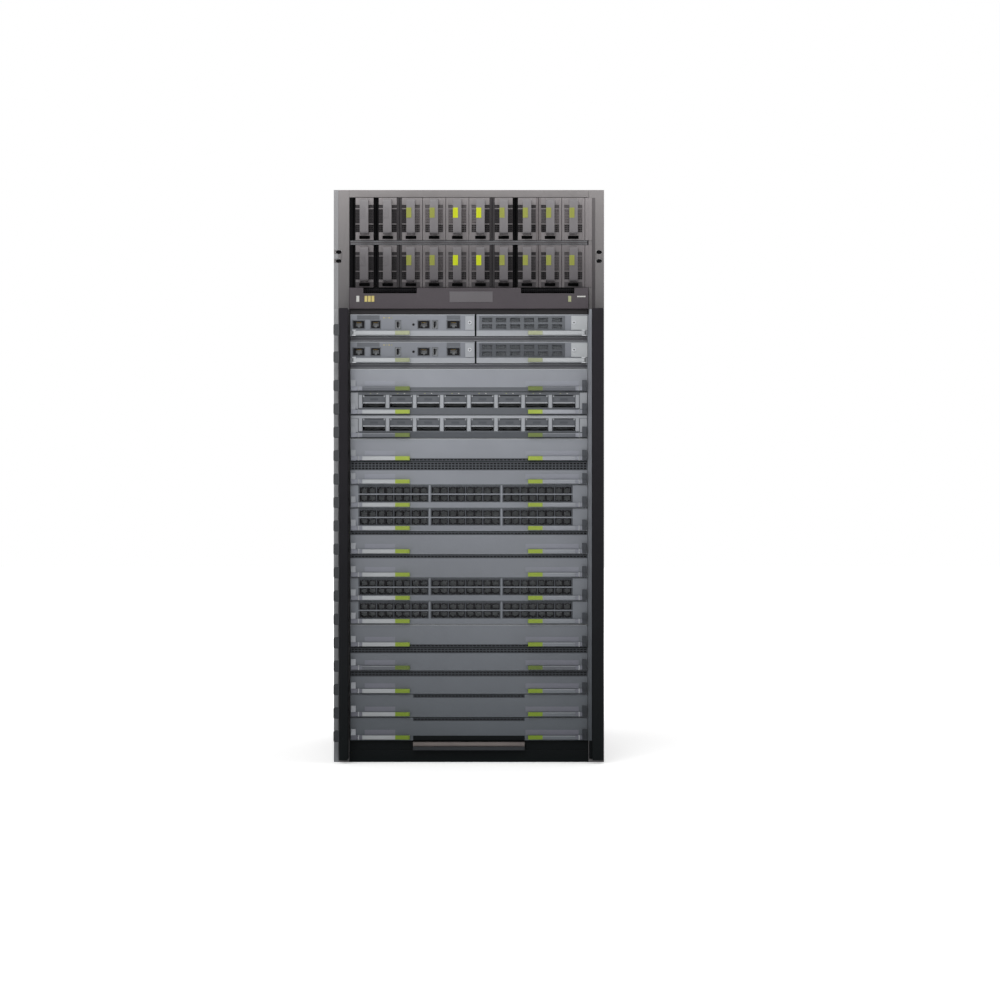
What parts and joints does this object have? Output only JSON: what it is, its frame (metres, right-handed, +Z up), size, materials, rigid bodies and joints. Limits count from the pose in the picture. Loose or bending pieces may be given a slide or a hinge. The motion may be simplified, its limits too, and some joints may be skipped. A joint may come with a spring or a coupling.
{
  "type": "modular chassis switch",
  "caption": "Rack-mounted network chassis with rows of power modules over a bezel, half-width control modules and stacked line-card slots that slide out of a folded sheet case.",
  "frame": {"origin": "centre of the footprint, on the floor under the base pan, midway between the front of the cable comb and the back of the fan-tray handles", "axes": "+Z up; the front, with the power modules, levers and cards, faces -Y; +X to the right seen from the front"},
  "size_m": [0.4826, 0.708, 1.0216],
  "materials": {
    "chassis_paint": "satin powder coat",
    "black_plastic": "fine texture",
    "circuit_board": "lacquered laminate",
    "terminal_plastic": "moulded",
    "module_metal": "brushed, anodised grey",
    "card_face": "blue-grey coat, satin",
    "lever_metal": "satin, with a lime coat on the grip",
    "tray_metal": "satin",
    "filter_frame": "moulded frame with a foam mat"
  },
  "bodies": {
    "chassis": {"side_wall_right": "chassis_paint", "side_wall_left": "chassis_paint", "top_cover": "chassis_paint", "base_pan": "chassis_paint", "bay_floor": "chassis_paint", "power_shelf": "chassis_paint", "front_frame": "chassis_paint", "front_bezel": "black_plastic", "cable_comb_left": "black_plastic", "cable_column_right": "black_plastic", "midplane": "circuit_board", "rear_frame": "chassis_paint", "power_terminals": "terminal_plastic"},
    "power_module_lower_01": {"power_module_lower_01": "module_metal"},
    "power_module_lower_02": {"power_module_lower_02": "module_metal"},
    "power_module_lower_03": {"power_module_lower_03": "module_metal"},
    "power_module_lower_04": {"power_module_lower_04": "module_metal"},
    "power_module_lower_05": {"power_module_lower_05": "module_metal"},
    "power_module_lower_06": {"power_module_lower_06": "module_metal"},
    "power_module_lower_07": {"power_module_lower_07": "module_metal"},
    "power_module_lower_08": {"power_module_lower_08": "module_metal"},
    "power_module_lower_09": {"power_module_lower_09": "module_metal"},
    "power_module_lower_10": {"power_module_lower_10": "module_metal"},
    "power_module_upper_01": {"power_module_upper_01": "module_metal"},
    "power_module_upper_02": {"power_module_upper_02": "module_metal"},
    "power_module_upper_03": {"power_module_upper_03": "module_metal"},
    "power_module_upper_04": {"power_module_upper_04": "module_metal"},
    "power_module_upper_05": {"power_module_upper_05": "module_metal"},
    "power_module_upper_06": {"power_module_upper_06": "module_metal"},
    "power_module_upper_07": {"power_module_upper_07": "module_metal"},
    "power_module_upper_08": {"power_module_upper_08": "module_metal"},
    "power_module_upper_09": {"power_module_upper_09": "module_metal"},
    "power_module_upper_10": {"power_module_upper_10": "module_metal"},
    "control_module_left_lower": {"control_module_left_lower": "card_face"},
    "control_module_left_upper": {"control_module_left_upper": "card_face"},
    "control_module_right_lower": {"control_module_right_lower": "card_face"},
    "control_module_right_upper": {"control_module_right_upper": "card_face"},
    "bay_card_02": {"bay_card_02": "card_face"},
    "bay_card_03": {"bay_card_03": "card_face"},
    "port_card_06": {"port_card_06": "card_face"},
    "port_card_07": {"port_card_07": "card_face"},
    "port_card_10": {"port_card_10": "card_face"},
    "port_card_11": {"port_card_11": "card_face"},
    "filler_panel_01": {"filler_panel_01": "card_face"},
    "filler_panel_04": {"filler_panel_04": "card_face"},
    "filler_panel_05": {"filler_panel_05": "card_face"},
    "filler_panel_08": {"filler_panel_08": "card_face"},
    "filler_panel_09": {"filler_panel_09": "card_face"},
    "filler_panel_12": {"filler_panel_12": "card_face"},
    "filler_panel_13": {"filler_panel_13": "card_face"},
    "filler_panel_14": {"filler_panel_14": "card_face"},
    "filler_panel_15": {"filler_panel_15": "card_face"},
    "filler_panel_16": {"filler_panel_16": "card_face"},
    "fan_tray_lower": {"fan_tray_lower": "tray_metal"},
    "fan_tray_upper": {"fan_tray_upper": "tray_metal"},
    "air_filter": {"air_filter": "filter_frame"},
    "control_lever_left_lower": {"control_lever_left_lower": "lever_metal"},
    "control_lever_left_upper": {"control_lever_left_upper": "lever_metal"},
    "control_lever_right_lower": {"control_lever_right_lower": "lever_metal"},
    "control_lever_right_upper": {"control_lever_right_upper": "lever_metal"}
  },
  "joints": [
    {"name": "power_module_lower_01_slide", "type": "slide", "parent": "chassis", "child": "power_module_lower_01", "axis": [0, -1, 0], "range_m": [0, 0.42]},
    {"name": "power_module_lower_02_slide", "type": "slide", "parent": "chassis", "child": "power_module_lower_02", "axis": [0, -1, 0], "range_m": [0, 0.42]},
    {"name": "power_module_lower_03_slide", "type": "slide", "parent": "chassis", "child": "power_module_lower_03", "axis": [0, -1, 0], "range_m": [0, 0.42]},
    {"name": "power_module_lower_04_slide", "type": "slide", "parent": "chassis", "child": "power_module_lower_04", "axis": [0, -1, 0], "range_m": [0, 0.42]},
    {"name": "power_module_lower_05_slide", "type": "slide", "parent": "chassis", "child": "power_module_lower_05", "axis": [0, -1, 0], "range_m": [0, 0.42]},
    {"name": "power_module_lower_06_slide", "type": "slide", "parent": "chassis", "child": "power_module_lower_06", "axis": [0, -1, 0], "range_m": [0, 0.42]},
    {"name": "power_module_lower_07_slide", "type": "slide", "parent": "chassis", "child": "power_module_lower_07", "axis": [0, -1, 0], "range_m": [0, 0.42]},
    {"name": "power_module_lower_08_slide", "type": "slide", "parent": "chassis", "child": "power_module_lower_08", "axis": [0, -1, 0], "range_m": [0, 0.42]},
    {"name": "power_module_lower_09_slide", "type": "slide", "parent": "chassis", "child": "power_module_lower_09", "axis": [0, -1, 0], "range_m": [0, 0.42]},
    {"name": "power_module_lower_10_slide", "type": "slide", "parent": "chassis", "child": "power_module_lower_10", "axis": [0, -1, 0], "range_m": [0, 0.42]},
    {"name": "power_module_upper_01_slide", "type": "slide", "parent": "chassis", "child": "power_module_upper_01", "axis": [0, -1, 0], "range_m": [0, 0.42]},
    {"name": "power_module_upper_02_slide", "type": "slide", "parent": "chassis", "child": "power_module_upper_02", "axis": [0, -1, 0], "range_m": [0, 0.42]},
    {"name": "power_module_upper_03_slide", "type": "slide", "parent": "chassis", "child": "power_module_upper_03", "axis": [0, -1, 0], "range_m": [0, 0.42]},
    {"name": "power_module_upper_04_slide", "type": "slide", "parent": "chassis", "child": "power_module_upper_04", "axis": [0, -1, 0], "range_m": [0, 0.42]},
    {"name": "power_module_upper_05_slide", "type": "slide", "parent": "chassis", "child": "power_module_upper_05", "axis": [0, -1, 0], "range_m": [0, 0.42]},
    {"name": "power_module_upper_06_slide", "type": "slide", "parent": "chassis", "child": "power_module_upper_06", "axis": [0, -1, 0], "range_m": [0, 0.42]},
    {"name": "power_module_upper_07_slide", "type": "slide", "parent": "chassis", "child": "power_module_upper_07", "axis": [0, -1, 0], "range_m": [0, 0.42]},
    {"name": "power_module_upper_08_slide", "type": "slide", "parent": "chassis", "child": "power_module_upper_08", "axis": [0, -1, 0], "range_m": [0, 0.42]},
    {"name": "power_module_upper_09_slide", "type": "slide", "parent": "chassis", "child": "power_module_upper_09", "axis": [0, -1, 0], "range_m": [0, 0.42]},
    {"name": "power_module_upper_10_slide", "type": "slide", "parent": "chassis", "child": "power_module_upper_10", "axis": [0, -1, 0], "range_m": [0, 0.42]},
    {"name": "control_module_left_lower_slide", "type": "slide", "parent": "chassis", "child": "control_module_left_lower", "axis": [0, -1, 0], "range_m": [0, 0.42]},
    {"name": "control_module_left_upper_slide", "type": "slide", "parent": "chassis", "child": "control_module_left_upper", "axis": [0, -1, 0], "range_m": [0, 0.42]},
    {"name": "control_module_right_lower_slide", "type": "slide", "parent": "chassis", "child": "control_module_right_lower", "axis": [0, -1, 0], "range_m": [0, 0.42]},
    {"name": "control_module_right_upper_slide", "type": "slide", "parent": "chassis", "child": "control_module_right_upper", "axis": [0, -1, 0], "range_m": [0, 0.42]},
    {"name": "bay_card_02_slide", "type": "slide", "parent": "chassis", "child": "bay_card_02", "axis": [0, -1, 0], "range_m": [0, 0.42]},
    {"name": "bay_card_03_slide", "type": "slide", "parent": "chassis", "child": "bay_card_03", "axis": [0, -1, 0], "range_m": [0, 0.42]},
    {"name": "port_card_06_slide", "type": "slide", "parent": "chassis", "child": "port_card_06", "axis": [0, -1, 0], "range_m": [0, 0.42]},
    {"name": "port_card_07_slide", "type": "slide", "parent": "chassis", "child": "port_card_07", "axis": [0, -1, 0], "range_m": [0, 0.42]},
    {"name": "port_card_10_slide", "type": "slide", "parent": "chassis", "child": "port_card_10", "axis": [0, -1, 0], "range_m": [0, 0.42]},
    {"name": "port_card_11_slide", "type": "slide", "parent": "chassis", "child": "port_card_11", "axis": [0, -1, 0], "range_m": [0, 0.42]},
    {"name": "filler_panel_01_slide", "type": "slide", "parent": "chassis", "child": "filler_panel_01", "axis": [0, -1, 0], "range_m": [0, 0.04]},
    {"name": "filler_panel_04_slide", "type": "slide", "parent": "chassis", "child": "filler_panel_04", "axis": [0, -1, 0], "range_m": [0, 0.04]},
    {"name": "filler_panel_05_slide", "type": "slide", "parent": "chassis", "child": "filler_panel_05", "axis": [0, -1, 0], "range_m": [0, 0.04]},
    {"name": "filler_panel_08_slide", "type": "slide", "parent": "chassis", "child": "filler_panel_08", "axis": [0, -1, 0], "range_m": [0, 0.04]},
    {"name": "filler_panel_09_slide", "type": "slide", "parent": "chassis", "child": "filler_panel_09", "axis": [0, -1, 0], "range_m": [0, 0.04]},
    {"name": "filler_panel_12_slide", "type": "slide", "parent": "chassis", "child": "filler_panel_12", "axis": [0, -1, 0], "range_m": [0, 0.04]},
    {"name": "filler_panel_13_slide", "type": "slide", "parent": "chassis", "child": "filler_panel_13", "axis": [0, -1, 0], "range_m": [0, 0.04]},
    {"name": "filler_panel_14_slide", "type": "slide", "parent": "chassis", "child": "filler_panel_14", "axis": [0, -1, 0], "range_m": [0, 0.04]},
    {"name": "filler_panel_15_slide", "type": "slide", "parent": "chassis", "child": "filler_panel_15", "axis": [0, -1, 0], "range_m": [0, 0.04]},
    {"name": "filler_panel_16_slide", "type": "slide", "parent": "chassis", "child": "filler_panel_16", "axis": [0, -1, 0], "range_m": [0, 0.04]},
    {"name": "fan_tray_lower_slide", "type": "slide", "parent": "chassis", "child": "fan_tray_lower", "axis": [0, 1, 0], "range_m": [0, 0.15]},
    {"name": "fan_tray_upper_slide", "type": "slide", "parent": "chassis", "child": "fan_tray_upper", "axis": [0, 1, 0], "range_m": [0, 0.15]},
    {"name": "air_filter_slide", "type": "slide", "parent": "chassis", "child": "air_filter", "axis": [0, -1, 0], "range_m": [0, 0.38]},
    {"name": "control_lever_left_lower_hinge", "type": "hinge", "parent": "control_module_left_lower", "child": "control_lever_left_lower", "pos_m": [-0.2045, -0.32803, 0.7176], "axis": [0, 0, -1], "range_deg": [0, 70]},
    {"name": "control_lever_left_upper_hinge", "type": "hinge", "parent": "control_module_left_upper", "child": "control_lever_left_upper", "pos_m": [-0.2045, -0.32803, 0.7661], "axis": [0, 0, -1], "range_deg": [0, 70]},
    {"name": "control_lever_right_lower_hinge", "type": "hinge", "parent": "control_module_right_lower", "child": "control_lever_right_lower", "pos_m": [0.2045, -0.32803, 0.7176], "axis": [0, 0, 1], "range_deg": [0, 70]},
    {"name": "control_lever_right_upper_hinge", "type": "hinge", "parent": "control_module_right_upper", "child": "control_lever_right_upper", "pos_m": [0.2045, -0.32803, 0.7661], "axis": [0, 0, 1], "range_deg": [0, 70]}
  ]
}
